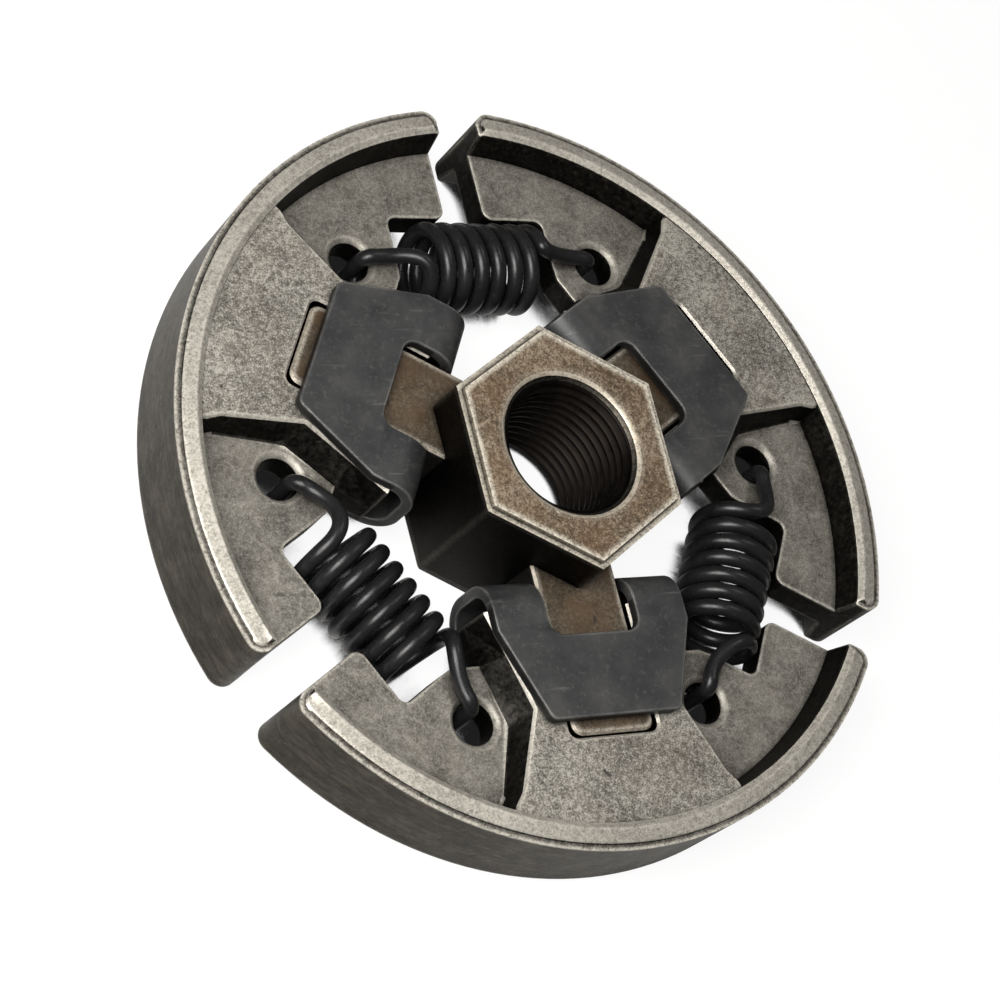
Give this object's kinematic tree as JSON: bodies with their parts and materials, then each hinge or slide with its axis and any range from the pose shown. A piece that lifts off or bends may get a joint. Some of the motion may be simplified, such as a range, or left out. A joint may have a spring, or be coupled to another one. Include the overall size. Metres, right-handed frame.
{
  "type": "chainsaw centrifugal clutch",
  "caption": "Centrifugal clutch for a chainsaw: curved shoes slide on the arms of a threaded hexagon hub, drawn in by hooked coil springs and held by bent sheet clips.",
  "frame": {"origin": "on the crank axis at the hub's back face, the lowest point of the clutch as it lies on its back", "axes": "+Z along the crank axis, out of the side that takes the wrench; -Y along the arm of shoe C, so that shoes A and B lie to the left and right at the top seen from +Z"},
  "size_m": [0.0666, 0.0667, 0.0128],
  "materials": {
    "carrier": "pressed and sintered steel, brown steam-treated, bright at the edges",
    "shoe": "pressed and sintered steel, warm grey and speckled, worn bright at the edges",
    "retainer": "satin blackened sheet with fine scratches",
    "spring": "glossy black oiled spring wire"
  },
  "bodies": {
    "carrier": {"carrier": "carrier"},
    "shoe_a": {"shoe_a": "shoe", "retainer_a": "retainer"},
    "shoe_b": {"shoe_b": "shoe", "retainer_b": "retainer"},
    "shoe_c": {"shoe_c": "shoe", "retainer_c": "retainer"},
    "spring_ab": {"spring_ab": "spring"},
    "spring_bc": {"spring_bc": "spring"},
    "spring_ca": {"spring_ca": "spring"}
  },
  "joints": [
    {"name": "shoe_a_slide", "type": "slide", "parent": "carrier", "child": "shoe_a", "axis": [-0.866, 0.5, 0], "range_m": [0, 0.0015], "stiffness_N_per_m": 40000},
    {"name": "shoe_b_slide", "type": "slide", "parent": "carrier", "child": "shoe_b", "axis": [0.866, 0.5, 0], "range_m": [0, 0.0015], "stiffness_N_per_m": 40000},
    {"name": "shoe_c_slide", "type": "slide", "parent": "carrier", "child": "shoe_c", "axis": [0, -1, 0], "range_m": [0, 0.0015], "stiffness_N_per_m": 40000},
    {"name": "spring_ab_stretch", "type": "slide", "parent": "shoe_a", "child": "spring_ab", "axis": [1, 0, 0], "range_m": [0, 0.0026], "deforming": ["spring_ab"]},
    {"name": "spring_bc_stretch", "type": "slide", "parent": "shoe_b", "child": "spring_bc", "axis": [-0.5, -0.866, 0], "range_m": [0, 0.0026], "deforming": ["spring_bc"]},
    {"name": "spring_ca_stretch", "type": "slide", "parent": "shoe_c", "child": "spring_ca", "axis": [-0.5, 0.866, 0], "range_m": [0, 0.0026], "deforming": ["spring_ca"]}
  ],
  "couplings": [
    {"joint": "shoe_b_slide", "follows": "shoe_a_slide", "ratio": 1},
    {"joint": "shoe_c_slide", "follows": "shoe_a_slide", "ratio": 1},
    {"joint": "spring_ab_stretch", "follows": "shoe_a_slide", "ratio": 1.7321},
    {"joint": "spring_bc_stretch", "follows": "shoe_a_slide", "ratio": 1.7321},
    {"joint": "spring_ca_stretch", "follows": "shoe_a_slide", "ratio": 1.7321}
  ]
}
